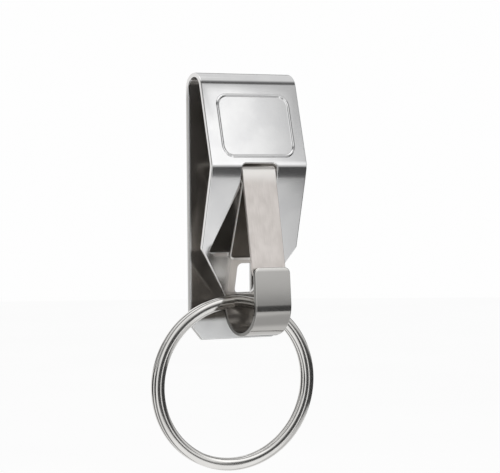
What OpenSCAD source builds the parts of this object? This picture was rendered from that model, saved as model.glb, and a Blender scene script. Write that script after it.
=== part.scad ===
// Belt key clip: a sprung steel strip hangs over a belt, and its hook holds a split ring
// behind a gate that is pressed in to let the ring out.
// X runs across the clip, +Y points into the wearer, +Z points up.
// The origin lies on the belt side of the back plate, at the middle of the belt's height.

/* [Strip] */
// Width of the clip strip
strip_w = 30; // [24:1:40]
// Thickness of the clip strip
strip_t = 1.2; // [0.8:0.1:1.5]

/* [Belt channel] */
// Height of the widest belt that the clip takes
belt_h = 38; // [32:1:45]
// Free height between the belt's upper edge and the top bend
head_room = 3.6; // [2:0.2:6]
// Clear depth of the channel under the top bend
channel_d = 5.9; // [5:0.1:7.5]
// Length of the back plate below the belt
tail_len = 29; // [27:0.5:34]

/* [Front arm] */
// Length of the front panel
panel_len = 21.5; // [20:0.5:26]
// Lean of the front panel, away from the belt as it goes down
panel_tilt = 14; // [10:0.5:16]
// Lean of the lower leaf, back towards the plate
leaf_tilt = 14.5; // [13:0.5:17]
// Radius of the knee between panel and leaf, at mid thickness
knee_r = 4; // [3:0.5:6]
// Length of the leaf that keeps the full width
leaf_full_len = 21.6; // [19:0.2:24]

/* [Leaf window] */
// Width of the slot that the gate comes out of
slot_w = 11; // [10.9:0.1:12]
// Radius of the slot's upper corners
slot_r = 1.3; // [0.8:0.1:2]
// Straight length of the slot, below the knee, before the window widens
slot_drop = 4.6; // [3:0.2:6]
// Width of the leaf beside the window's foot, on the left
rim_left = 2.3; // [2:0.1:4]
// Width of the leaf beside the window's foot, on the right
rim_right = 5; // [3:0.1:5]
// Height of the window below the slot
window_h = 17.2; // [14:0.2:18]
// Width of the small hole under the window
hole_w = 6.2; // [5:0.2:7]
// Height of the small hole
hole_h = 8; // [6:0.2:8.4]
// Corner radius of the small hole
hole_r = 1.3; // [0.8:0.1:2]
// Strip left between the window and the small hole
hole_bar = 3.2; // [2.6:0.1:3.6]

/* [Back plate] */
// Height of the plate's corner cut
corner_h = 4.4; // [2:0.2:6]
// Width of the plate's corner cut
corner_w = 3.8; // [3:0.2:7]
// Width of the hole in the plate
plate_hole_w = 9; // [7:0.5:12]
// Height of the hole in the plate
plate_hole_h = 10.5; // [8:0.5:11]

/* [Raised frame] */
// Width of the raised frame on the front panel
frame_w = 22.4; // [18:0.2:25]
// Height of the raised frame
frame_h = 16.6; // [12:0.2:18]
// Width of the raised line
frame_line = 0.8; // [0.5:0.1:1.2]
// Height of the raised line above the panel
frame_rise = 0.25; // [0.15:0.05:0.5]
// Outer corner radius of the raised frame
frame_r = 2.4; // [1.5:0.1:4]

/* [Hook] */
// Width of the hook
hook_w = 11.2; // [9:0.2:12]
// Inner radius of the hook
hook_in_r = 7.2; // [6.5:0.1:8]
// Gap between the hook's back and the plate
hook_gap = 1.9; // [0.5:0.1:2.5]
// Length of the hook's upright tip
tip_len = 9.7; // [8:0.1:11]
// Lean of the tip, back towards the gate
tip_lean = 4; // [0:0.5:6]
// Corner radius of the tip
tip_r = 1.8; // [1:0.1:3]

/* [Gate] */
// Width of the gate
gate_w = 10.4; // [9:0.1:10.6]
// Thickness of the gate strip
gate_t = 0.8; // [0.6:0.1:0.9]
// Radius of the gate's top fold, at mid thickness
fold_r = 0.9; // [0.8:0.1:1.2]
// Length of gate that lies behind the hook's tip
gate_lap = 3; // [2:0.2:4]
// Width of the spring leg just below the fold
leg_top_w = 7.6; // [6:0.2:8]
// Height in which the fold narrows to the leg
leg_neck = 3; // [2:0.2:4]
// Width of the spring leg at its foot
leg_foot_w = 13.2; // [11:0.2:14]
// Radius of the heel that the leg ends in, at mid thickness
heel_r = 0.9; // [0.8:0.1:1.2]
// Corner radius of the leg's foot
leg_corner_r = 1.2; // [0.8:0.1:1.6]

/* [Split ring] */
// Outer diameter of the ring
ring_d = 47.5; // [40:0.5:52]
// Width of the wire across the ring's plane
wire_w = 3.2; // [2.6:0.1:3.4]
// Thickness of the wire along the ring's axis
wire_t = 1.2; // [0.9:0.05:1.4]
// Gap between the two turns
turn_gap = 0.45; // [0.42:0.01:0.6]
// Arc in which the wire steps from one turn to the other
step_angle = 34; // [24:2:50]
// Sideways place of the ring's centre
ring_shift = -4; // [-5:0.5:5]
// Turn of the hanging ring about an upright line, its right side forwards
ring_yaw = 6.5; // [0:0.5:8]
// Lean of the hanging ring, its foot towards the wearer
ring_lean = 4; // [0:0.5:5]
// Place where the step ends round the ring, from the right-hand side
step_place = 92; // [60:2:120]

/* [Hidden] */
$fn = 64;

// Clearance of pieces that rest on each other
seat = 0.3;
// Overrun of every cut past the face that it leaves
cut = 1;
// Angle of one facet of a bend
arc_step = 6;
// Angle that the heel curls through, away from the leaf
heel_turn = 70;
// Facets of one turn of the ring, and sides of its wire
rings_per_turn = 72;
wire_sides = 12;

// A state is [y, z, heading]: heading 0 goes up, and more heading turns towards the front.
function ahead(s, len) = [s[0] - len * sin(s[2]), s[1] + len * cos(s[2]), s[2]];
function turned(s, r, turn) =
    let (side = sign(turn), to = s[2] + turn)
    [s[0] - side * r * (cos(s[2]) - cos(to)), s[1] - side * r * (sin(s[2]) - sin(to)), to];

// Top bend
loop_r = (channel_d + strip_t) / 2;
loop_turn = 180 - panel_tilt;
plate_foot = [strip_t / 2, -belt_h / 2 - tail_len, 0];
loop_axis_z = belt_h / 2 + head_room - channel_d / 2;
plate_len = loop_axis_z - plate_foot[1];
loop_from = ahead(plate_foot, plate_len);
loop_to = turned(loop_from, loop_r, loop_turn);

// Front arm, from the top bend down to the tip of the hook
hook_r = hook_in_r + strip_t / 2;
knee_from = ahead(loop_to, panel_len);
leaf_from = turned(knee_from, knee_r, panel_tilt + leaf_tilt);
hook_axis_y = -hook_gap - strip_t - hook_in_r;
leaf_len = (hook_axis_y + hook_r * cos(leaf_tilt) - leaf_from[0]) / sin(leaf_tilt);
leaf_to = ahead(leaf_from, leaf_len);
tip_from = turned(leaf_to, hook_r, -180 - leaf_tilt - tip_lean);
tip_to = ahead(tip_from, tip_len);
hook_axis_z = leaf_to[1] - hook_r * sin(leaf_tilt);
hook_foot = hook_axis_z - hook_r - strip_t;
arm_front = hook_axis_y - hook_r - strip_t;

// Window and slot, as heights
slot_top = knee_from[1] - strip_t / 4;
window_top = leaf_from[1] - slot_drop;
window_foot = window_top - window_h;
hole_top = window_foot - hole_bar;
hole_foot = hole_top - hole_h;
plate_hole_top = hole_top + hole_r;

// The gate's fold sits in the slot, and its two legs rest on the hook's tip and on the leaf
fold_axis = [knee_from[0] + strip_t / 2 + fold_r - gate_t / 2,
             slot_top - strip_t / 2 - gate_t / 2 - fold_r];
tip_rest = ahead(tip_to, -gate_lap / 2);
front_gap = strip_t / 2 + seat + gate_t / 2;
tip_point = [tip_rest[0] + front_gap * cos(tip_lean), tip_rest[1] - front_gap * sin(tip_lean)];
heel_height = heel_r + gate_t / 2;
heel_on = ahead(leaf_from, (leaf_from[1] - window_foot + heel_height / 2) / cos(leaf_tilt));
heel_gap = strip_t / 2 + seat + heel_height;
heel_axis = [heel_on[0] - heel_gap * cos(leaf_tilt), heel_on[1] - heel_gap * sin(leaf_tilt)];

function span(a, b) = norm([a[0] - b[0], a[1] - b[1]]);
// Lean of the front leg, forwards from straight down, along the fold's front tangent
gate_tilt = atan2(fold_axis[0] - tip_point[0], fold_axis[1] - tip_point[1])
            - asin(fold_r / span(fold_axis, tip_point));
gate_reach = sqrt(pow(span(fold_axis, tip_point), 2) - fold_r * fold_r);
gate_len = gate_reach + gate_lap / 2;
// Lean of the spring leg, backwards, along the inner tangent of fold and heel
leg_span = span(fold_axis, heel_axis);
leg_tilt = atan2(heel_axis[0] - fold_axis[0], fold_axis[1] - heel_axis[1])
           - asin((fold_r - heel_r) / leg_span);
leg_len = sqrt(leg_span * leg_span - pow(fold_r - heel_r, 2));
fold_turn = 180 - gate_tilt - leg_tilt;
gate_top = [fold_axis[0] - fold_r * cos(gate_tilt), fold_axis[1] + fold_r * sin(gate_tilt),
            -gate_tilt];
leg_from = turned(gate_top, fold_r, -fold_turn);

// Split ring
ring_r = (ring_d - wire_w) / 2;
turn_pitch = wire_t + turn_gap;
ring_depth = wire_t + turn_pitch;
ring_top_z = hook_axis_z + hook_in_r / 3;
ring_back_on = ahead(leaf_from, (leaf_from[1] - ring_top_z) / cos(leaf_tilt));
yaw_room = (hook_w / 2 + ring_shift) * sin(ring_yaw);
ring_y = ring_back_on[0] - strip_t / 2 / cos(leaf_tilt) - seat - yaw_room - ring_depth / 2;
ring_hang_z = ring_top_z - wire_w / 2;
wire_round = wire_t / 2;

// Points along one side of a strip, by steps of [length, radius, turn] from a state
function side_points(s, steps, off, i = 0) =
    i == len(steps) ? [side_point(s, off)] :
    let (from = ahead(s, steps[i][0]), n = ceil(abs(steps[i][2]) / arc_step))
    concat([side_point(s, off)],
           [for (k = [0:n - 1]) side_point(turned(from, steps[i][1], steps[i][2] * k / n), off)],
           side_points(turned(from, steps[i][1], steps[i][2]), steps, off, i + 1));
function side_point(s, off) = [s[0] - off * cos(s[2]), s[1] - off * sin(s[2])];
function reversed(a) = [for (i = [len(a) - 1:-1:0]) a[i]];

// Bent strip of one width: its profile in Y and Z, drawn out along X
module strip(s, steps, w, t) {
    rotate([90, 0, 90]) linear_extrude(w, center = true)
        polygon(concat(side_points(s, steps, t / 2), reversed(side_points(s, steps, -t / 2))));
}

// Puts children at a state, with +Z along its heading
module at(s) {
    translate([0, s[0], s[1]]) rotate([s[2], 0, 0]) children();
}

// Rectangle with rounded corners, centred
module rounded(w, h, r) {
    square([w - 2 * r, h], center = true);
    square([w, h - 2 * r], center = true);
    for (x = [-1, 1], y = [-1, 1])
        translate([x * (w / 2 - r), y * (h / 2 - r)]) circle(r);
}

// Prism of an outline drawn in X and Z, between two depths
module through(y0, y1) {
    translate([0, y1, 0]) rotate([90, 0, 0]) linear_extrude(y1 - y0) children();
}

module plate_outline() {
    foot = plate_foot[1];
    top = loop_axis_z + channel_d + strip_t;
    polygon([[corner_w - strip_w / 2, foot], [strip_w / 2 - corner_w, foot],
             [strip_w / 2, foot + corner_h], [strip_w / 2, top],
             [-strip_w / 2, top], [-strip_w / 2, foot + corner_h]]);
}

module back_plate() {
    color("silver") difference() {
        intersection() {
            strip(plate_foot, [[plate_len, loop_r, loop_turn]], strip_w, strip_t);
            through(-channel_d - strip_t - cut, strip_t + cut) plate_outline();
        }
        through(-cut, strip_t + cut) translate([0, plate_hole_top - plate_hole_h / 2])
            rounded(plate_hole_w, plate_hole_h, hole_r);
    }
}

module raised_frame() {
    translate([0, panel_len / 2]) difference() {
        rounded(frame_w, frame_h, frame_r);
        rounded(frame_w - 2 * frame_line, frame_h - 2 * frame_line, frame_r - frame_line);
    }
}

// Outline of panel and leaf, as half widths at heights
module arm_outline() {
    top = loop_to[1] + cut;
    taper_top = leaf_from[1] - leaf_full_len * cos(leaf_tilt);
    polygon([[-strip_w / 2, top], [strip_w / 2, top], [strip_w / 2, taper_top],
             [hook_w / 2, leaf_to[1]], [hook_w / 2, hook_foot], [-hook_w / 2, hook_foot],
             [-hook_w / 2, leaf_to[1]], [-strip_w / 2, taper_top]]);
}

// Slot and window, drawn in X and Z
module window_outline() {
    slot_h = slot_top - window_top;
    translate([0, window_top]) polygon([[-slot_w / 2, 0], [-slot_w / 2, slot_h - slot_r],
        [slot_r - slot_w / 2, slot_h], [slot_w / 2 - slot_r, slot_h],
        [slot_w / 2, slot_h - slot_r], [slot_w / 2, 0],
        [strip_w / 2 - rim_right, -window_h], [rim_left - strip_w / 2, -window_h]]);
    for (x = [-1, 1]) translate([x * (slot_w / 2 - slot_r), slot_top - slot_r]) circle(slot_r);
}

// Outline of the hook's front, with the tip's rounded corners
module tip_outline() {
    top = tip_to[1] + strip_t / 2 * sin(tip_lean);
    translate([0, (top + hook_foot) / 2]) rounded(hook_w, top - hook_foot, tip_r);
}

module front_arm() {
    color("gainsboro") {
        difference() {
            strip(loop_to, [[panel_len, knee_r, panel_tilt + leaf_tilt],
                            [leaf_len, hook_r, -180 - leaf_tilt - tip_lean], [tip_len, hook_r, 0]],
                  strip_w, strip_t);
            difference() {
                through(arm_front, cut) square([2 * strip_w, 4 * belt_h], center = true);
                through(arm_front - cut, 2 * cut) arm_outline();
            }
            difference() {
                through(arm_front, hook_axis_y) translate([-strip_w, hook_foot - cut])
                    square([2 * strip_w, tip_to[1] - hook_foot + 2 * cut]);
                through(arm_front - cut, hook_axis_y + cut) tip_outline();
            }
            through(arm_front, 0) window_outline();
            through(hook_axis_y, 0) translate([0, (hole_top + hole_foot) / 2])
                rounded(hole_w, hole_h, hole_r);
        }
        at(loop_to) rotate([90, 0, 0]) mirror([0, 0, 1])
            linear_extrude(strip_t / 2 + frame_rise) raised_frame();
    }
}

// Outline of fold and spring leg: as wide as the gate, narrower below the fold, wider at the foot
module leg_outline() {
    top = fold_axis[1] + fold_r + gate_t;
    foot = heel_axis[1] - heel_height;
    shoulder = fold_axis[1] - gate_t;
    neck = shoulder - leg_neck;
    polygon([[-gate_w / 2, top], [gate_w / 2, top], [gate_w / 2, shoulder], [leg_top_w / 2, neck],
             [leg_foot_w / 2, foot + leg_corner_r], [leg_foot_w / 2 - leg_corner_r, foot],
             [leg_corner_r - leg_foot_w / 2, foot], [-leg_foot_w / 2, foot + leg_corner_r],
             [-leg_top_w / 2, neck], [-gate_w / 2, shoulder]]);
}

module gate_spring() {
    color("darkgray") intersection() {
        strip(gate_top, [[0, fold_r, -fold_turn], [leg_len, heel_r, -heel_turn]],
              leg_foot_w, gate_t);
        through(arm_front, 0) leg_outline();
    }
}

module gate_tongue() {
    color("antiquewhite") at([gate_top[0], gate_top[1], 180 - gate_tilt]) rotate([90, 0, 0])
        linear_extrude(gate_t, center = true) {
            translate([-gate_w / 2, 0]) square([gate_w, gate_len - tip_r]);
            translate([tip_r - gate_w / 2, 0]) square([gate_w - 2 * tip_r, gate_len]);
            for (x = [-1, 1]) translate([x * (gate_w / 2 - tip_r), gate_len - tip_r]) circle(tip_r);
        }
}

// Depth of the wire's middle after an angle: front turn, then a smooth step, then back turn
function step_share(a) = min(1, max(0, (a - 360 + step_angle) / step_angle));
function wire_y(a) =
    let (u = step_share(a)) turn_pitch * (u * u * (3 - 2 * u) - 1 / 2);
function wire_point(a, k) =
    let (q = 360 * k / wire_sides,
         flat_w = wire_w / 2 - wire_round,
         out = wire_round * cos(q) + (cos(q) > 0 ? flat_w : -flat_w),
         side = wire_round * sin(q),
         r = ring_r + out)
    [r * cos(a + step_place), wire_y(a) + side, r * sin(a + step_place)];
wire_end = 720 - step_angle;
wire_rings = round(wire_end / 360 * rings_per_turn);
wire_angles = [for (i = [0:wire_rings]) i * wire_end / wire_rings];

// Least gap between the ring's two turns, over the points of both
least_gap = min([for (a = wire_angles, b = wire_angles)
    if (b - a > 350 && b - a < 370)
        min([for (k = [0:wire_sides - 1], m = [0:wire_sides - 1])
            norm(wire_point(a, k) - wire_point(b, m))])]);
echo(least_gap_of_split_ring = least_gap);

module split_ring() {
    n = wire_sides;
    points = [for (a = wire_angles, k = [0:n - 1]) wire_point(a, k)];
    sides = [for (i = [0:wire_rings - 1], k = [0:n - 1], half = [0, 1])
        let (p = i * n + k, q = i * n + (k + 1) % n)
        half == 0 ? [p, q, q + n] : [p, q + n, p + n]];
    starts = [for (k = [1:n - 2]) [0, k + 1, k]];
    ends = [for (k = [1:n - 2]) [0, k, k + 1] + wire_rings * [n, n, n]];
    color("lightgray") translate([ring_shift, ring_y, ring_hang_z])
        rotate([ring_lean, 0, -ring_yaw]) translate([0, 0, -ring_r])
            polyhedron(points, concat(sides, starts, ends));
}

back_plate();
front_arm();
gate_spring();
gate_tongue();
split_ring();
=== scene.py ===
"""Belt key clip: bent strip with hook, folded gate strip and split ring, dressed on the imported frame."""
import math
import bpy
import numpy as np
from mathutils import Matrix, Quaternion, Vector, geometry


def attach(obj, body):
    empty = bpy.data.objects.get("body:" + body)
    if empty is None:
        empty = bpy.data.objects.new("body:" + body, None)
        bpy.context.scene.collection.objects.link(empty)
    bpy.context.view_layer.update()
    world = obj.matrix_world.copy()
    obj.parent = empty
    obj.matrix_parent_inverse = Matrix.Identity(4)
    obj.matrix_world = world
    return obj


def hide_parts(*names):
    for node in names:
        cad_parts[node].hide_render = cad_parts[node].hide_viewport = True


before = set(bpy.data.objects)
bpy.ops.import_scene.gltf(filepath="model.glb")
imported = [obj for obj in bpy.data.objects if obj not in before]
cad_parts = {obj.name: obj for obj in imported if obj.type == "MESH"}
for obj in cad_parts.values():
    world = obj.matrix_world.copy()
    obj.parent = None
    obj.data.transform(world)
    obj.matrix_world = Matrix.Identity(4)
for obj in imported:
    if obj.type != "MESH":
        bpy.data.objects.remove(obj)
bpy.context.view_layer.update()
MM = 0.001

# Sizes in millimetres and degrees, as in the part's source
STRIP_W, STRIP_T = 30.0, 1.2
CHANNEL_H, HEAD_ROOM, CHANNEL_D, TAIL_LEN = 38.0, 3.6, 5.9, 29.0
PANEL_LEN, PANEL_TILT, LEAF_TILT, KNEE_R, LEAF_FULL = 21.5, 14.0, 14.5, 4.0, 21.6
SLOT_W, SLOT_R, SLOT_DROP = 11.0, 1.3, 4.6
RIM_LEFT, RIM_RIGHT, WINDOW_H = 2.3, 5.0, 17.2
HOLE_W, HOLE_H, HOLE_R, HOLE_BAR = 6.2, 8.0, 1.3, 3.2
CORNER_H, CORNER_W, PLATE_HOLE_W, PLATE_HOLE_H = 4.4, 3.8, 9.0, 10.5
HOOK_W, HOOK_IN_R, HOOK_GAP, TIP_LEN, TIP_LEAN, TIP_R = 11.2, 7.2, 1.9, 9.7, 4.0, 1.8
GATE_W, GATE_T, FOLD_R, GATE_LAP = 10.4, 0.8, 0.9, 3.0
LEG_TOP_W, LEG_NECK, LEG_FOOT_W, HEEL_R, LEG_CORNER_R = 7.6, 3.0, 13.2, 0.9, 1.2
RING_D, WIRE_W, WIRE_T, TURN_GAP = 47.5, 3.2, 1.2, 0.45
STEP_ANGLE, RING_SHIFT, STEP_PLACE, RING_YAW, RING_LEAN = 34.0, -4.0, 92.0, 6.5, 4.0
SEAT, HEEL_TURN = 0.3, 70.0

# Sizes of the finish, which only this script has: raised line, cut edges, corners, softened bends
FRAME_W, FRAME_H, FRAME_R, FRAME_X, FRAME_DROP = 23.0, 17.6, 3.4, 0.3, 0.7
FRAME_LINE, FRAME_RISE, LINE_ROWS = 0.8, 0.22, 5
LINE_REACH = FRAME_LINE * 0.62
STRIP_EDGE, GATE_EDGE, EDGE_ROWS = 0.34, 0.18, 3
PLATE_CORNER_R, LEAF_CORNER_R, HOOK_ROOT_R = 0.5, 1.0, 2.5
WAIST_R, WINDOW_FOOT_R, LEG_SHOULDER_R, LEG_NECK_R = 2.0, 0.6, 0.5, 0.8
CLIP_EASE, LOOP_TAIL, KNEE_TAIL, GATE_EASE = 1.2, 0.02, 0.16, 0.3
CLIP_FACET, GATE_FACET = 2.5, 5.0
RING_POINTS, WIRE_SIDES, RING_SHARP = 560, 28, 50.0


def sind(a):
    return math.sin(math.radians(a))


def cosd(a):
    return math.cos(math.radians(a))


def ahead(s, length):
    """A state (y, z, heading) moved along its heading; heading 0 goes up, more turns to the front."""
    return (s[0] - length * sind(s[2]), s[1] + length * cosd(s[2]), s[2])


def turned(s, r, turn):
    """A state carried round a bend of radius r."""
    side, to = math.copysign(1, turn), s[2] + turn
    return (s[0] - side * r * (cosd(s[2]) - cosd(to)), s[1] - side * r * (sind(s[2]) - sind(to)), to)


# The clip strip, from the plate's foot over the top bend and down to the hook's tip
loop_r = (CHANNEL_D + STRIP_T) / 2
loop_turn = 180 - PANEL_TILT
plate_foot = (STRIP_T / 2, -CHANNEL_H / 2 - TAIL_LEN, 0.0)
loop_axis_z = CHANNEL_H / 2 + HEAD_ROOM - CHANNEL_D / 2
plate_len = loop_axis_z - plate_foot[1]
loop_to = turned(ahead(plate_foot, plate_len), loop_r, loop_turn)
knee_from = ahead(loop_to, PANEL_LEN)
leaf_from = turned(knee_from, KNEE_R, PANEL_TILT + LEAF_TILT)
hook_r = HOOK_IN_R + STRIP_T / 2
hook_axis_y = -HOOK_GAP - STRIP_T - HOOK_IN_R
leaf_len = (hook_axis_y + hook_r * cosd(LEAF_TILT) - leaf_from[0]) / sind(LEAF_TILT)
leaf_to = ahead(leaf_from, leaf_len)
hook_turn = -180 - LEAF_TILT - TIP_LEAN
tip_to = ahead(turned(leaf_to, hook_r, hook_turn), TIP_LEN)
hook_axis_z = leaf_to[1] - hook_r * sind(LEAF_TILT)

# The gate strip, from the gate's foot over the fold and down to the leg's heel
window_top = leaf_from[1] - SLOT_DROP
window_foot = window_top - WINDOW_H
hole_top = window_foot - HOLE_BAR
slot_top = knee_from[1] - STRIP_T / 4
fold_axis = (knee_from[0] + STRIP_T / 2 + FOLD_R - GATE_T / 2,
             slot_top - STRIP_T / 2 - GATE_T / 2 - FOLD_R)
tip_rest = ahead(tip_to, -GATE_LAP / 2)
front_gap = STRIP_T / 2 + SEAT + GATE_T / 2
tip_point = (tip_rest[0] + front_gap * cosd(TIP_LEAN), tip_rest[1] - front_gap * sind(TIP_LEAN))
heel_height = HEEL_R + GATE_T / 2
heel_on = ahead(leaf_from, (leaf_from[1] - window_foot + heel_height / 2) / cosd(LEAF_TILT))
heel_gap = STRIP_T / 2 + SEAT + heel_height
heel_axis = (heel_on[0] - heel_gap * cosd(LEAF_TILT), heel_on[1] - heel_gap * sind(LEAF_TILT))


def lean(a, b):
    """Angle of the line from a down to b, away from straight down, and its length."""
    dy, dz = b[0] - a[0], a[1] - b[1]
    return math.degrees(math.atan2(dy, dz)), math.hypot(dy, dz)


back_lean, reach = lean(fold_axis, tip_point)
gate_tilt = -back_lean - math.degrees(math.asin(FOLD_R / reach))
gate_len = math.sqrt(reach ** 2 - FOLD_R ** 2) + GATE_LAP / 2
leg_tilt, leg_span = lean(fold_axis, heel_axis)
leg_len = math.sqrt(leg_span ** 2 - (FOLD_R - HEEL_R) ** 2)
fold_turn = 180 - gate_tilt - leg_tilt
gate_top = (fold_axis[0] - FOLD_R * cosd(gate_tilt), fold_axis[1] + FOLD_R * sind(gate_tilt), -gate_tilt)


class Bend:
    """Middle line of a bent strip, by steps of (length, radius, turn, tail); ease softens both ends of
    a bend, and tail is the share of its turn that fades out along the straight run after it."""

    STEP, TAIL_LENGTH = 0.02, 4.2

    def __init__(self, start, steps, ease):
        spans, self.marks, at = [], [0.0], 0
        for length, radius, turn, tail in steps:
            at += round(length / self.STEP)
            self.marks.append(at * self.STEP)
            n = round(radius * abs(math.radians(turn)) / self.STEP)
            spans.append((at, at + n, math.radians(turn), tail))
            at += n
            self.marks.append(at * self.STEP)
        curve = np.zeros(at)
        for first, last, turn, tail in spans:
            if last > first:
                bend = np.zeros(at)
                bend[first:last] = turn / ((last - first) * self.STEP)
                curve += np.convolve(bend, self.kernel(ease, tail), "same")
        self.s = np.arange(len(curve) + 1) * self.STEP
        self.head = math.radians(start[2]) + np.concatenate([[0], np.cumsum(curve) * self.STEP])
        mid = (self.head[1:] + self.head[:-1]) / 2
        self.y = start[0] + np.concatenate([[0], np.cumsum(-np.sin(mid)) * self.STEP])
        self.z = start[1] + np.concatenate([[0], np.cumsum(np.cos(mid)) * self.STEP])

    def kernel(self, ease, tail):
        """Weights that soften a bend and keep its middle, so both straight runs stay in place."""
        reach = round(self.TAIL_LENGTH / self.STEP)
        s = np.arange(-reach, reach + 1) * self.STEP
        fade = np.where(s >= 0, np.maximum(0, 1 - s / self.TAIL_LENGTH), 0)
        fade /= fade.sum()
        centre = -tail * (fade * s).sum() / (1 - tail)
        near = np.maximum(0, np.cos(np.pi * np.clip((s - centre) / ease, -0.5, 0.5)) ** 2)
        return (1 - tail) * near / near.sum() + tail * fade

    def place(self, x, s, n, normal):
        """Flat coordinates and normals (across, along, out) carried onto the bent strip, in metres."""
        h = np.interp(s, self.s, self.head)
        y, z = np.interp(s, self.s, self.y), np.interp(s, self.s, self.z)
        points = np.stack([x, y - n * np.cos(h), z - n * np.sin(h)], 1) * MM
        a, b, c = normal.T
        normals = np.stack([a, -b * np.sin(h) - c * np.cos(h), b * np.cos(h) - c * np.sin(h)], 1)
        return points, normals

    def stations(self, s0, s1, degrees):
        """Places between s0 and s1 where the strip has turned by another few degrees."""
        turn = np.concatenate([[0], np.cumsum(np.abs(np.diff(self.head)))])
        lo, hi = np.interp([s0, s1], self.s, turn)
        n = max(1, math.ceil((hi - lo) / math.radians(degrees)))
        moving = np.concatenate([[True], np.diff(turn) > 1e-9])
        levels = lo + (hi - lo) * np.arange(1, n) / n
        return [float(np.interp(v, turn[moving], self.s[moving])) for v in levels]


def rounded_loop(points, radii, facet=12, straight=88):
    """A polygon with round corners, one radius for each; a nearly straight corner stays as it is."""
    out = []
    n = len(points)
    for i, (p, r) in enumerate(zip(points, radii)):
        p = np.array(p, float)
        a, b = np.array(points[i - 1], float) - p, np.array(points[(i + 1) % n], float) - p
        a, b = a / np.linalg.norm(a), b / np.linalg.norm(b)
        half = math.acos(max(-1, min(1, float(a @ b)))) / 2
        if r <= 0 or half > math.radians(straight):
            out.append(p)
            continue
        centre = p + (a + b) / np.linalg.norm(a + b) * r / math.sin(half)
        start, end = p + a * r / math.tan(half) - centre, p + b * r / math.tan(half) - centre
        t0 = math.atan2(start[1], start[0])
        dt = (math.atan2(end[1], end[0]) - t0 + math.pi) % (2 * math.pi) - math.pi
        k = max(2, math.ceil(abs(math.degrees(dt)) / facet))
        for j in range(k + 1):
            t = t0 + dt * j / k
            out.append(centre + r * np.array([math.cos(t), math.sin(t)]))
    return np.array(out)


def box_loop(x0, x1, s0, s1, radius):
    return rounded_loop([(x0, s0), (x1, s0), (x1, s1), (x0, s1)], [radius] * 4)


def outward(loop):
    """Outward normals of a loop that has its inside on the left, of length 1 and mitred (up to 2)."""
    edge = np.roll(loop, -1, 0) - loop
    edge /= np.linalg.norm(edge, axis=1, keepdims=True)
    right = np.stack([edge[:, 1], -edge[:, 0]], 1)
    both = right + np.roll(right, 1, 0)
    unit = both / np.linalg.norm(both, axis=1, keepdims=True)
    return unit, unit / np.maximum(0.5, (unit * right).sum(1, keepdims=True))


def inside(points, loops):
    """Whether points lie inside the first loop and outside the others, by crossings."""
    hit = np.zeros(len(points), int)
    for loop in loops:
        for p, q in zip(loop, np.roll(loop, -1, 0)):
            crosses = (p[1] > points[:, 1]) != (q[1] > points[:, 1])
            if p[1] != q[1]:
                at = p[0] + (points[:, 1] - p[1]) * (q[0] - p[0]) / (q[1] - p[1])
                hit += crosses & (points[:, 0] < at)
    return hit % 2 == 1


def signed_area(loop):
    x, y = loop.T
    return float((x * np.roll(y, -1) - np.roll(x, -1) * y).sum()) / 2


def flat_triangles(loops, bands, lines):
    """An outline with its holes cut into triangles, with edges along the bands and lines."""
    points, edges = [], []

    def draw(loop):
        k = len(points)
        points.extend(tuple(p) for p in loop)
        edges.extend((k + i, k + (i + 1) % len(loop)) for i in range(len(loop)))

    for loop in loops:
        draw(loop)
    wide = float(np.abs(loops[0][:, 0]).max()) + 1
    for s in bands:
        edges.append((len(points), len(points) + 1))
        points += [(-wide, s), (wide, s)]
    for line in lines:
        draw(line)
    flat = geometry.delaunay_2d_cdt([Vector(p) for p in points], edges, [], 0, 1e-5)
    xy = np.array([tuple(v) for v in flat[0]])
    fans = [(face[0], face[i], face[i + 1]) for face in flat[2] for i in range(1, len(face) - 1)]
    tris = np.array(fans)
    a, b, c = (xy[tris[:, i]] for i in range(3))
    area = (b[:, 0] - a[:, 0]) * (c[:, 1] - a[:, 1]) - (b[:, 1] - a[:, 1]) * (c[:, 0] - a[:, 0])
    tris[area < 0] = tris[area < 0][:, ::-1]
    tris = tris[(np.abs(area) > 1e-9) & inside((a + b + c) / 3, loops)]
    used = np.unique(tris)
    remap = -np.ones(len(xy), int)
    remap[used] = np.arange(len(used))
    return xy[used], remap[tris]


def rims_of(tris):
    """Boundary loops of the triangles, each with the inside on its left."""
    halves = {(int(t[i]), int(t[(i + 1) % 3])) for t in tris for i in range(3)}
    follow = {p: q for p, q in halves if (q, p) not in halves}
    rims = []
    while follow:
        first = start = next(iter(follow))
        rim = [start]
        while (start := follow.pop(start)) != first:
            rim.append(start)
        rims.append(rim)
    return rims


def show(name, mesh):
    piece = bpy.data.objects.new(name, mesh)
    bpy.context.scene.collection.objects.link(piece)
    return piece


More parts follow.
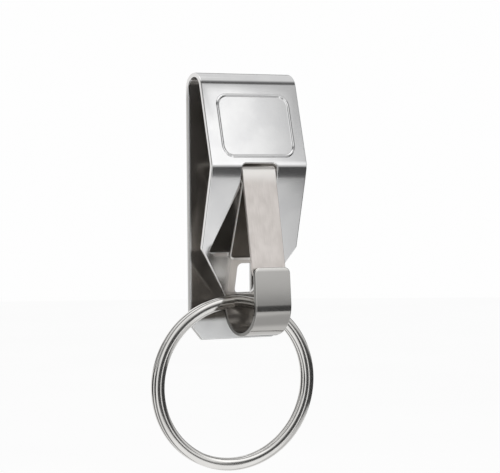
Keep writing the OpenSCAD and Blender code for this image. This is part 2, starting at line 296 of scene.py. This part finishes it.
def sheet_piece(name, bend, loops, thick, edge, bands, seam, relief=None, relief_lines=()):
    """A punched strip: flat outline and holes, rounded cut edges, then bent along its middle line.
    bands are the stations of its bends, and at the seam, a place along it, the edge stays square."""
    loops = [l if (signed_area(l) > 0) == (i == 0) else l[::-1] for i, l in enumerate(loops)]
    inner = []
    for loop in loops:
        moved = loop - edge * outward(loop)[1]
        moved[np.isclose(loop[:, 1], seam), 1] = seam
        inner.append(moved)
    xy, tris = flat_triangles(inner, bands, relief_lines)
    m = len(xy)
    rise, slope_x, slope_s = relief(xy) if relief else np.zeros((3, m))

    # The two faces, upper one first; the relief stands on the lower one
    down = np.stack([-slope_x, -slope_s, -np.ones(m)], 1)
    flat_xy, flat_n = [xy, xy], [np.full(m, thick / 2), -thick / 2 - rise]
    normals = [np.tile([0.0, 0.0, 1.0], (m, 1)), down / np.linalg.norm(down, axis=1, keepdims=True)]
    faces = [tuple(t) for t in tris] + [tuple(t[::-1] + m) for t in tris]

    # The rounded cut edge, row by row round each rim from the upper face to the lower one
    total = 2 * m
    arc = [(1, k) for k in range(1, EDGE_ROWS + 1)] + [(-1, k) for k in range(EDGE_ROWS, 0, -1)]
    for rim in rims_of(tris):
        loop = xy[rim]
        unit, mitre = outward(loop)
        square = np.isclose(loop[:, 1], seam)
        unit[square] = np.sign(unit[square]) * (1, 0)
        mitre[square, 1] = 0
        rows = [np.array(rim)]
        for side, k in arc:
            t = math.radians(90 * k / EDGE_ROWS)
            flat_xy.append(loop + mitre * edge * math.sin(t))
            flat_n.append(np.full(len(rim), side * (thick / 2 - edge * (1 - math.cos(t)))))
            lift = np.full((len(rim), 1), side * math.cos(t))
            normals.append(np.concatenate([unit * math.sin(t), lift], 1))
            rows.append(total + np.arange(len(rim)))
            total += len(rim)
        rows.append(np.array(rim) + m)
        for over, under in zip(rows, rows[1:]):
            faces += zip(over, under, np.roll(under, -1), np.roll(over, -1))

    flat_xy, flat_n, normals = (np.concatenate(parts) for parts in (flat_xy, flat_n, normals))
    points, vectors = bend.place(*flat_xy.T, flat_n, normals)
    mesh = bpy.data.meshes.new(name)
    mesh.from_pydata(points.tolist(), [], [tuple(int(v) for v in f) for f in faces])
    mesh.shade_smooth()
    uv = mesh.uv_layers.new(name="sheet")
    index = np.zeros(len(mesh.loops), int)
    mesh.loops.foreach_get("vertex_index", index)
    uv.data.foreach_set("uv", (flat_xy[index] * MM).astype(np.float32).ravel())
    side = mesh.attributes.new("side", "FLOAT", "POINT")
    side.data.foreach_set("value", (flat_n / thick * 2).astype(np.float32))
    mesh.update()
    mesh.normals_split_custom_set_from_vertices(vectors.tolist())
    return show(name, mesh)


# Clip strip: one middle line for both pieces, so the seam at the panel's top doesn't show
clip = Bend(plate_foot, [(plate_len, loop_r, loop_turn, LOOP_TAIL),
                         (PANEL_LEN, KNEE_R, PANEL_TILT + LEAF_TILT, KNEE_TAIL),
                         (leaf_len, hook_r, hook_turn, 0.0), (TIP_LEN, 1, 0, 0.0)], CLIP_EASE)
clip_s = dict(zip(("foot", "loop", "panel", "knee", "leaf", "hook", "tip", "end"), clip.marks))


def plate_s(z):
    """Place along the strip of a height on the plate."""
    return z - plate_foot[1]


def leaf_s(z):
    """Place along the strip of a height on the leaf."""
    return clip_s["leaf"] + (leaf_from[1] - z) / cosd(LEAF_TILT)


half = STRIP_W / 2
plate_loop = rounded_loop(
    [(CORNER_W - half, 0), (half - CORNER_W, 0), (half, CORNER_H), (half, clip_s["panel"]),
     (-half, clip_s["panel"]), (-half, CORNER_H)],
    [PLATE_CORNER_R, PLATE_CORNER_R, PLATE_CORNER_R, 0, 0, PLATE_CORNER_R])
plate_hole_top = plate_s(hole_top + HOLE_R)
plate_hole = box_loop(-PLATE_HOLE_W / 2, PLATE_HOLE_W / 2,
                      plate_hole_top - PLATE_HOLE_H, plate_hole_top, HOLE_R)
back_plate = sheet_piece("back_plate_skin", clip, [plate_loop, plate_hole], STRIP_T, STRIP_EDGE,
                         clip.stations(0, clip_s["panel"], CLIP_FACET), clip_s["panel"])

taper_top = clip_s["leaf"] + LEAF_FULL
hook_half, slot_half = HOOK_W / 2, SLOT_W / 2
arm_loop = rounded_loop(
    [(-half, clip_s["panel"]), (half, clip_s["panel"]), (half, taper_top), (hook_half, clip_s["hook"]),
     (hook_half, clip_s["end"]), (-hook_half, clip_s["end"]), (-hook_half, clip_s["hook"]),
     (-half, taper_top)],
    [0, 0, LEAF_CORNER_R, HOOK_ROOT_R, TIP_R, TIP_R, HOOK_ROOT_R, LEAF_CORNER_R])
slot_s = clip_s["knee"] + (knee_from[1] - slot_top)
window_loop = rounded_loop(
    [(-slot_half, slot_s), (slot_half, slot_s), (slot_half, leaf_s(window_top)),
     (half - RIM_RIGHT, leaf_s(window_foot)), (RIM_LEFT - half, leaf_s(window_foot)),
     (-slot_half, leaf_s(window_top))],
    [SLOT_R, SLOT_R, WAIST_R, WINDOW_FOOT_R, WINDOW_FOOT_R, WAIST_R])
hole_loop = box_loop(-HOLE_W / 2, HOLE_W / 2, leaf_s(hole_top), leaf_s(hole_top - HOLE_H), HOLE_R)
frame_mid = clip_s["panel"] + PANEL_LEN / 2 + FRAME_DROP


def line_box(grow):
    """Half width, half height and corner radius of the raised line's middle, grown by so much."""
    return tuple(v - FRAME_LINE / 2 + grow for v in (FRAME_W / 2, FRAME_H / 2, FRAME_R))


def line_distance(p):
    """Distance from the middle of the raised line, negative inside it, and its direction."""
    wide, high, r = line_box(0)
    q = p - np.array([FRAME_X, frame_mid])
    d = np.abs(q) - np.array([wide - r, high - r])
    out = np.maximum(d, 0)
    length = np.linalg.norm(out, axis=1)
    dist = np.where(length > 0, length, d.max(1)) - r
    grad = np.where(length[:, None] > 0, out / np.maximum(length, 1e-9)[:, None],
                    np.stack([d[:, 0] >= d[:, 1], d[:, 0] < d[:, 1]], 1))
    return dist, grad * np.sign(q)


def raised_line(p):
    """Height of the raised line over the panel, and its slopes across and along."""
    dist, grad = line_distance(p)
    phase = np.pi * dist / LINE_REACH
    on_line = np.abs(dist) < LINE_REACH
    rise = np.where(on_line, FRAME_RISE * (1 + np.cos(phase)) / 2, 0)
    slope = np.where(on_line, -FRAME_RISE * np.pi / LINE_REACH * np.sin(phase) / 2, 0)
    return rise, slope * grad[:, 0], slope * grad[:, 1]


def line_loop(grow):
    wide, high, r = line_box(grow)
    return box_loop(FRAME_X - wide, FRAME_X + wide, frame_mid - high, frame_mid + high, r)


line_loops = [line_loop(LINE_REACH * k / LINE_ROWS) for k in range(-LINE_ROWS, LINE_ROWS + 1)]
front_arm = sheet_piece("front_arm_skin", clip, [arm_loop, window_loop, hole_loop], STRIP_T, STRIP_EDGE,
                        clip.stations(clip_s["panel"], clip_s["end"], CLIP_FACET), clip_s["panel"],
                        relief=raised_line, relief_lines=line_loops)

# Gate strip: one middle line for the front leg and for the fold with the short leg
gate = Bend(ahead(gate_top, -gate_len), [(gate_len, FOLD_R, -fold_turn, 0.0),
                                         (leg_len, HEEL_R, -HEEL_TURN, 0.0)], GATE_EASE)
gate_s = dict(zip(("foot", "fold", "leg", "heel", "end"), gate.marks))


def leg_s(z):
    """Place along the gate strip of a height on the short leg."""
    return gate_s["leg"] + (fold_axis[1] - z) / cosd(leg_tilt)


gate_half, top_half, foot_half = GATE_W / 2, LEG_TOP_W / 2, LEG_FOOT_W / 2
gate_loop = rounded_loop(
    [(-gate_half, 0), (gate_half, 0), (gate_half, gate_s["fold"]), (-gate_half, gate_s["fold"])],
    [TIP_R, TIP_R, 0, 0])
gate_tongue = sheet_piece("gate_skin", gate, [gate_loop], GATE_T, GATE_EDGE, [], gate_s["fold"])

shoulder_s, neck_s = leg_s(fold_axis[1] - GATE_T), leg_s(fold_axis[1] - GATE_T - LEG_NECK)
leg_loop = rounded_loop(
    [(-gate_half, gate_s["fold"]), (gate_half, gate_s["fold"]), (gate_half, shoulder_s),
     (top_half, neck_s), (foot_half, gate_s["end"]), (-foot_half, gate_s["end"]), (-top_half, neck_s),
     (-gate_half, shoulder_s)],
    [0, 0, LEG_SHOULDER_R, LEG_NECK_R, LEG_CORNER_R, LEG_CORNER_R, LEG_NECK_R, LEG_SHOULDER_R])
gate_spring = sheet_piece("gate_spring_skin", gate, [leg_loop], GATE_T, GATE_EDGE,
                          gate.stations(gate_s["fold"], gate_s["end"], GATE_FACET), gate_s["fold"])


class Socket:
    """A number on a node's socket; arithmetic on it adds Math nodes to the same tree."""

    def __init__(self, tree, socket):
        self.tree, self.socket = tree, socket

    def of(self, name):
        """Another output of the same node."""
        return Socket(self.tree, self.socket.node.outputs[name])

    def math(self, operation, *values, clamp=False):
        return self.tree.add("ShaderNodeMath", dict(enumerate(values)), operation=operation, use_clamp=clamp)

    def __add__(self, other):
        return self.math("ADD", self, other)

    def __sub__(self, other):
        return self.math("SUBTRACT", self, other)

    def __rsub__(self, other):
        return self.math("SUBTRACT", other, self)

    def __mul__(self, other):
        return self.math("MULTIPLY", self, other)

    def __truediv__(self, other):
        return self.math("DIVIDE", self, other)

    def __abs__(self):
        return self.math("ABSOLUTE", self)

    __radd__, __rmul__ = __add__, __mul__

    def clamped(self):
        return self.math("ADD", self, 0.0, clamp=True)

    def most(self, other):
        return self.math("MAXIMUM", self, other)

    def sine(self):
        return self.math("SINE", self)

    def cosine(self):
        return self.math("COSINE", self)

    def smooth(self, low, high):
        """0 below low, 1 above high, smooth between; low may be the larger."""
        return self.tree.add("ShaderNodeMapRange", {0: self, 1: low, 2: high},
                             interpolation_type="SMOOTHSTEP")

    def band(self, start, full, fade, stop):
        """0 up to start, 1 from full to fade, 0 again from stop."""
        return self.smooth(start, full) * self.smooth(stop, fade)


class Tree:
    """Adds nodes to a shader or geometry tree."""

    def __init__(self, tree):
        self.tree = tree
        tree.nodes.clear()

    def add(self, kind, inputs=None, out=0, **settings):
        """A node of a kind, its settings first and then its inputs, as values or sockets."""
        node = self.tree.nodes.new(kind)
        for key, value in settings.items():
            setattr(node, key, value)
        for key, value in (inputs or {}).items():
            if isinstance(value, Socket):
                self.tree.links.new(value.socket, node.inputs[key])
            else:
                node.inputs[key].default_value = value
        return Socket(self, node.outputs[out] if node.outputs else None)

    def vector(self, x, y, z):
        return self.add("ShaderNodeCombineXYZ", {0: x, 1: y, 2: z})

    def mix(self, share, a, b):
        """Colour a where share is 0, b where it is 1."""
        colours = {i: (*c, 1) if isinstance(c, tuple) else c for i, c in ((6, a), (7, b))}
        return self.add("ShaderNodeMix", {0: share, **colours}, out=2, data_type="RGBA")

    def noise(self, vector, scale=1.0, detail=2.0, roughness=0.5):
        return self.add("ShaderNodeTexNoise", {"Vector": vector, "Scale": scale, "Detail": detail,
                                               "Roughness": roughness})

    def bump(self, height, strength, distance):
        return self.add("ShaderNodeBump", {"Height": height, "Strength": strength, "Distance": distance})

    def metal(self, colour, roughness, normal, metallic=1.0):
        return self.add("ShaderNodeBsdfPrincipled", {"Base Color": colour, "Roughness": roughness,
                                                     "Normal": normal, "Metallic": metallic})


def material(name, make):
    """A material whose surface comes from make(tree)."""
    m = bpy.data.materials.new(name)
    m.use_nodes = True
    tree = Tree(m.node_tree)
    surface = make(tree)
    tree.add("ShaderNodeOutputMaterial", {"Surface": surface})
    return m


def sheet_place(tree):
    """Across and along the sheet in millimetres, and the side: 1 or -1 on a face, between on the cut."""
    uv = tree.add("ShaderNodeUVMap", uv_map="sheet")
    split = tree.add("ShaderNodeSeparateXYZ", {0: uv})
    side = tree.add("ShaderNodeAttribute", out="Fac", attribute_name="side")
    return split.of("X") / MM, split.of("Y") / MM, side


def pattern(place, across, along, **shape):
    """Noise on a sheet, with so many cells to the millimetre across and along it."""
    x, s, side = place
    return side.tree.noise(side.tree.vector(x * across, s * along, side), **shape)


# Colours of the clip strip, the gate strip and the ring
POLISHED, SMUDGED = (0.79, 0.79, 0.79), (0.74, 0.74, 0.745)
# Painted shade for the inner face and the hook's throat, plain and smudged
INNER_SHADE, INNER_SHADE_SMUDGED = (0.20, 0.185, 0.165), (0.27, 0.25, 0.23)
HOOK_TIP, HOOK_BEND, HOOK_GRAIN = (0.58, 0.57, 0.55), (0.42, 0.41, 0.395), (0.47, 0.46, 0.44)
# Painted light on the leaf below the window and on the plate's foot
SILL_LIGHT, PLATE_FOOT_LIGHT = (0.86, 0.81, 0.76), (0.94, 0.95, 0.955)
PANEL_CUT, PLATE_CUT, HOOK_CUT = (0.74, 0.73, 0.72), (0.46, 0.455, 0.445), (0.22, 0.215, 0.205)
# Painted highlight on the rim of the hook's tip
TIP_HIGHLIGHT = (0.85, 0.84, 0.81)
# Gate satin, plain and pale, and a painted highlight for its fold
SATIN, SATIN_PALE, FOLD_HIGHLIGHT = (0.61, 0.57, 0.54), (0.76, 0.715, 0.685), (0.90, 0.88, 0.85)
# Painted shade for the gate's short leg
LEG_SHADE, LEG_SHADE_PALE = (0.14, 0.13, 0.115), (0.22, 0.205, 0.185)
NICKEL, NICKEL_GREY = (0.74, 0.73, 0.71), (0.66, 0.65, 0.63)


def polished_strip(tree):
    """Polished outside and painted shade inside, with a greyer, grained hook, a painted highlight on the
    tip's rim and painted light on the foot and inner rims.
    """
    x, s, side = place = sheet_place(tree)
    loop, hook, tip, end = (clip_s[mark] for mark in ("loop", "hook", "tip", "end"))
    smudge = pattern(place, across=0.12, along=0.12, detail=3.0)
    grain = pattern(place, across=0.35, along=9.0)
    outer, inner = side.smooth(-0.8, -1.0), side.smooth(0.6, 0.9)
    rim = abs(x).smooth(STRIP_W / 2 - 0.9, STRIP_W / 2 - 0.4)

    # Side 1 is the inner face from plate to leaf and the hook's outer face, as the hook bends back.
    # Painted shade, darker and less metallic: the inner face but for its rims, foot and loop, and the hook's
    # throat but for its tip
    spared = s.smooth(plate_s(-42.0), plate_s(-43.5)) + 0.2 * s.smooth(loop - 6, loop + 2)
    painted_shade = side.smooth(0.2, 0.9) * s.smooth(hook + 4, hook - 2) * (1 - spared.most(rim))
    throat = outer * s.smooth(hook - 3, hook + 1) * (1 - 0.85 * s.smooth(tip - 7, tip - 2))
    painted_shade = painted_shade.most(throat)

    # Painted light, paler and less metallic: the leaf below the window, and on the inner face the plate's
    # foot and rims
    below_window = s.smooth(leaf_s(window_foot) - 0.5, leaf_s(window_foot) + 1) * (1 - throat)
    sill_light = outer * below_window * (1 - s.smooth(hook - 1, hook)) * (HOOK_W / 2 + 2 - abs(x)).smooth(0, 3)
    foot = inner * s.smooth(plate_s(-41.6), plate_s(-43.4))
    lit = foot.most(0.35 * rim * inner * s.smooth(loop, loop - 3))

    on_hook = s.smooth(hook - 4, hook + 8)
    bright = tree.mix(smudge.smooth(0.35, 0.7), POLISHED, SMUDGED)
    # The hook's tone: greyer than the panel, paler on the tip than round the bend, with grain
    hook_tone = tree.mix(s.smooth(tip - 0.5, tip - 3), HOOK_TIP, HOOK_BEND)
    hook_tone = tree.mix(0.3 * grain, hook_tone, HOOK_GRAIN)
    shade_colour = tree.mix(smudge.smooth(0.3, 0.7), INNER_SHADE, INNER_SHADE_SMUDGED)
    colour = tree.mix(painted_shade, tree.mix(on_hook, bright, hook_tone), shade_colour)
    colour = tree.mix(lit, tree.mix(sill_light, colour, SILL_LIGHT), PLATE_FOOT_LIGHT)

    # The cut edge is pale from the top bend down the panel and leaf, mid grey on the plate and dark on the
    # hook, and the hook's tip has a painted highlight along its rim
    cut = tree.mix(s.smooth(loop + 1, loop - 3), PANEL_CUT, PLATE_CUT)
    colour = tree.mix(abs(side).smooth(0.97, 0.80), colour, tree.mix(on_hook, cut, HOOK_CUT))
    colour = tree.mix(side.smooth(0.1, 0.4) * s.smooth(end - 1.3, end - 0.5), colour, TIP_HIGHLIGHT)

    roughness = 0.075 + 0.05 * smudge + 0.03 * grain + 0.06 * painted_shade + 0.2 * sill_light + 0.15 * lit
    metallic = 1 - (0.65 * sill_light).most(0.85 * lit).most(0.25 * painted_shade)
    return tree.metal(colour, roughness, tree.bump(grain, 0.06, 0.02 * MM), metallic)


def satin_gate(tree):
    """Warm satin with grain along the front leg, a painted highlight over the fold, and painted shade on the
    short leg.
    """
    _, s, side = place = sheet_place(tree)
    fold = gate_s["fold"]
    grain = pattern(place, across=7.0, along=0.25, detail=3.0, roughness=0.6)
    cloud = pattern(place, across=0.3, along=0.2)
    face = side.smooth(-0.85, -1.0).most(side.smooth(0.85, 1.0))
    satin = tree.mix((0.4 * grain + 0.6 * cloud).smooth(0.3, 0.7), SATIN, SATIN_PALE)
    # Painted highlight on the last few millimetres before the fold
    satin = tree.mix(s.smooth(fold - 4.5, fold - 0.5), satin, FOLD_HIGHLIGHT)
    # Painted shade: the short leg is dark, with faint clouds
    leg = tree.mix(cloud, LEG_SHADE, LEG_SHADE_PALE)
    colour = tree.mix(face * s.smooth(fold + 2.5, fold + 5), satin, leg)
    return tree.metal(colour, 0.30 + 0.08 * grain + 0.05 * cloud, tree.bump(grain, 0.2, 0.03 * MM))


def nickel_wire(tree):
    """Polished nickel with faint clouds and fine scratches."""
    place = tree.add("ShaderNodeTexCoord", out="Object")
    cloud = tree.noise(place, 120.0, 3.0)
    scratch = tree.noise(place, 900.0)
    colour = tree.mix(cloud.smooth(0.3, 0.7), NICKEL, NICKEL_GREY)
    return tree.metal(colour, 0.07 + 0.05 * cloud + 0.03 * scratch, tree.bump(scratch, 0.05, 0.02 * MM))


# Where the ring hangs: its top wire lies in the hook, just in front of the leaf
ring_depth = 2 * WIRE_T + TURN_GAP
ring_top_z = hook_axis_z + HOOK_IN_R / 3
ring_on = ahead(leaf_from, (leaf_from[1] - ring_top_z) / cosd(LEAF_TILT))
yaw_room = (HOOK_W / 2 + RING_SHIFT) * sind(RING_YAW)
ring_y = ring_on[0] - STRIP_T / 2 / cosd(LEAF_TILT) - SEAT - yaw_room - ring_depth / 2
ring_hang_z = ring_top_z - WIRE_W / 2


def split_ring_tree(steel):
    """Geometry tree: one flattened wire wound in two turns, with a smooth step from front to back."""
    group = bpy.data.node_groups.new("split ring", "GeometryNodeTree")
    tree = Tree(group)
    group.interface.new_socket("Geometry", in_out="OUTPUT", socket_type="NodeSocketGeometry")
    sizes = {"Ring radius": (RING_D - WIRE_W) / 2 * MM, "Wire width": WIRE_W * MM,
             "Wire thickness": WIRE_T * MM, "Pitch": (WIRE_T + TURN_GAP) * MM,
             "Wire angle": math.radians(720 - STEP_ANGLE), "Step angle": math.radians(STEP_ANGLE),
             "Step place": math.radians(STEP_PLACE)}
    for name in sizes:
        group.interface.new_socket(name, in_out="INPUT", socket_type="NodeSocketFloat")
    given = tree.add("NodeGroupInput")
    line = tree.add("GeometryNodeMeshLine", {"Count": RING_POINTS})
    curve = tree.add("GeometryNodeMeshToCurve", {"Mesh": line})
    angle = tree.add("GeometryNodeInputIndex") * (1 / (RING_POINTS - 1)) * given.of("Wire angle")
    share = ((angle - 2 * math.pi + given.of("Step angle")) / given.of("Step angle")).clamped()
    depth = given.of("Pitch") * (0.5 - share * share * (3 - 2 * share))
    turn = angle + given.of("Step place")
    radius = given.of("Ring radius")
    wound = tree.add("GeometryNodeSetPosition", {
        "Geometry": curve, "Position": tree.vector(turn.cosine() * radius, turn.sine() * radius, depth)})
    wound = tree.add("GeometryNodeSetCurveNormal", {"Curve": wound}, mode="Z_UP")
    shape = tree.add("GeometryNodeCurvePrimitiveCircle", {"Resolution": WIRE_SIDES, "Radius": 0.5})
    shape = tree.add("GeometryNodeTransform", {
        "Geometry": shape, "Scale": tree.vector(given.of("Wire width"), given.of("Wire thickness"), 1.0)})
    wire = tree.add("GeometryNodeCurveToMesh", {"Curve": wound, "Profile Curve": shape, "Fill Caps": True})
    wire = tree.add("GeometryNodeSetShadeSmooth", {"Geometry": wire})
    upright = tree.add("GeometryNodeTransform", {
        "Geometry": wire, "Translation": tree.vector(0.0, 0.0, 0.0 - radius),
        "Rotation": (math.pi / 2, 0, 0)})
    hung = tree.add("GeometryNodeTransform", {
        "Geometry": upright, "Translation": (RING_SHIFT * MM, ring_y * MM, ring_hang_z * MM),
        "Rotation": (math.radians(RING_LEAN), 0, math.radians(-RING_YAW))})
    real = tree.add("GeometryNodeRealizeInstances", {"Geometry": hung})
    painted = tree.add("GeometryNodeSetMaterial", {"Geometry": real, "Material": steel})
    tree.add("NodeGroupOutput", {"Geometry": painted})
    return group, sizes


def from_tree(name, group, sizes):
    """A piece made by a geometry tree, as a plain mesh."""
    source = show(name + "_source", bpy.data.meshes.new(name + "_source"))
    modifier = source.modifiers.new("Make", "NODES")
    modifier.node_group = group
    for item in group.interface.items_tree:
        if item.item_type == "SOCKET" and item.in_out == "INPUT":
            modifier[item.identifier] = sizes[item.name]
    bpy.context.view_layer.update()
    made = source.evaluated_get(bpy.context.evaluated_depsgraph_get())
    mesh = bpy.data.meshes.new_from_object(made)
    mesh.name = name
    bpy.data.objects.remove(source)
    return show(name, mesh)


strip_steel = material("polished_strip", polished_strip)
gate_steel = material("satin_gate", satin_gate)
ring_steel = material("nickel_wire", nickel_wire)
split_ring = from_tree("split_ring_skin", *split_ring_tree(ring_steel))
split_ring.data.set_sharp_from_angle(angle=math.radians(RING_SHARP))

for piece, node, body, slot, paint in (
        (back_plate, "back_plate", "clip_back", "polished_strip", strip_steel),
        (front_arm, "front_arm", "clip_front", "polished_strip", strip_steel),
        (gate_spring, "gate_spring", "clip_front", "brushed_gate", gate_steel),
        (gate_tongue, "gate_tongue", "gate", "brushed_gate", gate_steel),
        (split_ring, "split_ring", "ring", "nickel_wire", ring_steel)):
    if not piece.data.materials:
        piece.data.materials.append(paint)
    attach(piece, body)
    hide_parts(node)
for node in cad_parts.values():
    node.data.materials.clear()
    node.data.materials.append(ring_steel)


# Studio: pale floor, white surround, and a curtain with dark screens that only the metal sees.
# Azimuths are in degrees, 0 straight in front and positive to the right, and heights in metres
FLOOR_Z, FLOOR_R, FLOOR_GLOW = -0.32, 6.0, 0.20
TENT_R, TENT_FOOT, TENT_TOP = 0.62, -0.45, 1.1
SURROUND, SURROUND_SEEN = 0.80, 0.19
WHITE, SCREEN = (1, 1, 1, 1), (0.03, 0.03, 0.03)
LAMP_AIM = Vector((0, 0, -0.03))


def circle(radius, z, sides):
    """Points round the clip at one height."""
    turn = [2 * math.pi * i / sides for i in range(sides)]
    return [(radius * math.cos(a), radius * math.sin(a), z) for a in turn]


def disc(name, z, radius, sides=96):
    mesh = bpy.data.meshes.new(name)
    mesh.from_pydata(circle(radius, z, sides), [], [tuple(range(sides))])
    return show(name, mesh)


def around(tree, place):
    """Height of a place, and its azimuth."""
    split = tree.add("ShaderNodeSeparateXYZ", {0: place})
    angle = tree.add("ShaderNodeMath", {0: split.of("X"), 1: split.of("Y") * -1}, operation="ARCTAN2")
    return split.of("Z"), angle * (180 / math.pi)


def seen_share(path):
    """1 for a ray that shows the surround itself, straight, mirrored or through glass."""
    return path.of("Is Camera Ray").most(path.of("Is Glossy Ray")).most(path.of("Is Transmission Ray"))


def pale_floor(tree):
    """Pale cloth that shows white, with two darker strips that only reflections see."""
    place = tree.add("ShaderNodeTexCoord", out="Object")
    _, azimuth = around(tree, place)
    path = tree.add("ShaderNodeLightPath")
    strips = (0.36 * azimuth.band(35, 38, 60, 90)).most(0.75 * azimuth.band(-72, -62, -28, -20))
    shade = strips * path.of("Is Glossy Ray")
    pale = tree.mix(tree.noise(place, 3.0), (0.95, 0.95, 0.95), (0.97, 0.97, 0.97))
    cloth = tree.add("ShaderNodeBsdfDiffuse", {"Color": tree.mix(shade, pale, SCREEN)})
    glow = tree.add("ShaderNodeEmission", {
        "Color": WHITE, "Strength": FLOOR_GLOW * seen_share(path) * (1 - shade)})
    return tree.add("ShaderNodeAddShader", {0: cloth, 1: glow})


floor = disc("floor", FLOOR_Z, FLOOR_R)
floor.data.materials.append(material("pale_floor", pale_floor))


def curtain(tree):
    """Clear cloth with dark screens, each with its share of dark."""
    z, azimuth = around(tree, tree.add("ShaderNodeTexCoord", out="Object"))
    # To the right, with a light slit, and to the left, faint at all heights and dark low down:
    # the ring's lines and the dark bands of knee and hook
    right = azimuth.band(-8, -2, 150, 158) * (1 - azimuth.band(18, 20, 25, 27))
    left = azimuth.band(-66, -58, -30, -22)
    steps = 0.30 * z.smooth(0.12, 0.05) + 0.45 * z.smooth(0.004, -0.055) + 0.25 * z.smooth(-0.03, -0.10)
    low = 0.95 * z.smooth(-0.273, -0.259) * steps
    base = 0.20 * z.smooth(-0.52, -0.30)
    dark = low.most(base) * right.most(left)
    # High in front: the dark line below the top bend
    high = 0.9 * z.band(0.295, 0.42, 0.50, 0.95) * azimuth.band(-90, -70, 62, 90)
    # Further to the right, faint at all heights and stronger in the middle: the panel's right part
    faint = 0.18 * azimuth.smooth(34.8, 38.5)
    strong = 0.55 * azimuth.smooth(33.5, 38.5) * z.band(0.12, 0.20, 0.34, 0.37)
    aside = faint.most(strong) * azimuth.smooth(158, 150)
    # On both flanks, at the clip's height and above
    flank = azimuth.band(58, 75, 150, 158).most(azimuth.band(-110, -95, -36, -22))
    flank = 0.75 * flank * z.band(-0.01, 0.03, 0.33, 0.37)
    dark = dark.most(high).most(aside).most(flank)
    grey = tree.add("ShaderNodeBsdfDiffuse", {"Color": (*SCREEN, 1)})
    clear = tree.add("ShaderNodeBsdfTransparent")
    return tree.add("ShaderNodeMixShader", {0: dark, 1: clear, 2: grey})


def tent(name, radius, foot, top, sides=160):
    """A round curtain about the clip, seen in reflections alone."""
    mesh = bpy.data.meshes.new(name)
    faces = [(i, (i + 1) % sides, sides + (i + 1) % sides, sides + i) for i in range(sides)]
    mesh.from_pydata(circle(radius, foot, sides) + circle(radius, top, sides), [], faces)
    mesh.materials.append(material("curtain", curtain))
    piece = show(name, mesh)
    piece.visible_camera = piece.visible_diffuse = piece.visible_shadow = False


tent("tent", TENT_R, TENT_FOOT, TENT_TOP)


def place_facing(thing, aim, azimuth, elevation, distance, roll=0.0):
    """Puts a lamp or the camera at a distance from aim and turns it to face aim."""
    a, e = math.radians(azimuth), math.radians(elevation)
    away = Vector((math.sin(a) * math.cos(e), -math.cos(a) * math.cos(e), math.sin(e)))
    thing.location = aim + distance * away
    facing = (aim - thing.location).to_track_quat("-Z", "Y")
    thing.rotation_euler = (facing @ Quaternion((0, 0, 1), math.radians(-roll))).to_euler()
    bpy.context.scene.collection.objects.link(thing)


def lamp(name, azimuth, elevation, distance, wide, high, strength):
    """A softbox aimed at the clip."""
    data = bpy.data.lights.new(name, "AREA")
    data.shape, data.size, data.size_y = "RECTANGLE", wide, high
    data.energy = strength * math.pi * wide * high
    place_facing(bpy.data.objects.new(name, data), LAMP_AIM, azimuth, elevation, distance)


lamp("key", azimuth=17.5, elevation=20.3, distance=1.3, wide=0.76, high=0.64, strength=0.6)
lamp("top", azimuth=-20, elevation=72, distance=1.3, wide=0.9, high=0.9, strength=0.35)

world = bpy.context.scene.world or bpy.data.worlds.new("world")
bpy.context.scene.world = world
world.use_nodes = True
sky = Tree(world.node_tree)
seen = seen_share(sky.add("ShaderNodeLightPath"))
sky.add("ShaderNodeOutputWorld", {"Surface": sky.add("ShaderNodeBackground", {
    "Color": WHITE, "Strength": SURROUND + SURROUND_SEEN * seen})})
bpy.context.scene.view_settings.view_transform = "Standard"

# Camera at the photograph's angle
AZIMUTH, ELEVATION, DISTANCE, ROLL = -31.6, 1.1, 0.60, 0.5
PX_PER_MM, IMAGE_W, SENSOR_W = 3.72, 500, 36.0
CAMERA_AIM = Vector((-0.84, -8.18, -20.17)) * MM
camera = bpy.data.objects.new("camera", bpy.data.cameras.new("camera"))
place_facing(camera, CAMERA_AIM, AZIMUTH, ELEVATION, DISTANCE, ROLL)
camera.data.sensor_width = SENSOR_W
camera.data.lens = SENSOR_W * DISTANCE / (IMAGE_W / PX_PER_MM * MM)
camera.data.clip_start, camera.data.clip_end = 0.01, 50.0
bpy.context.scene.camera = camera
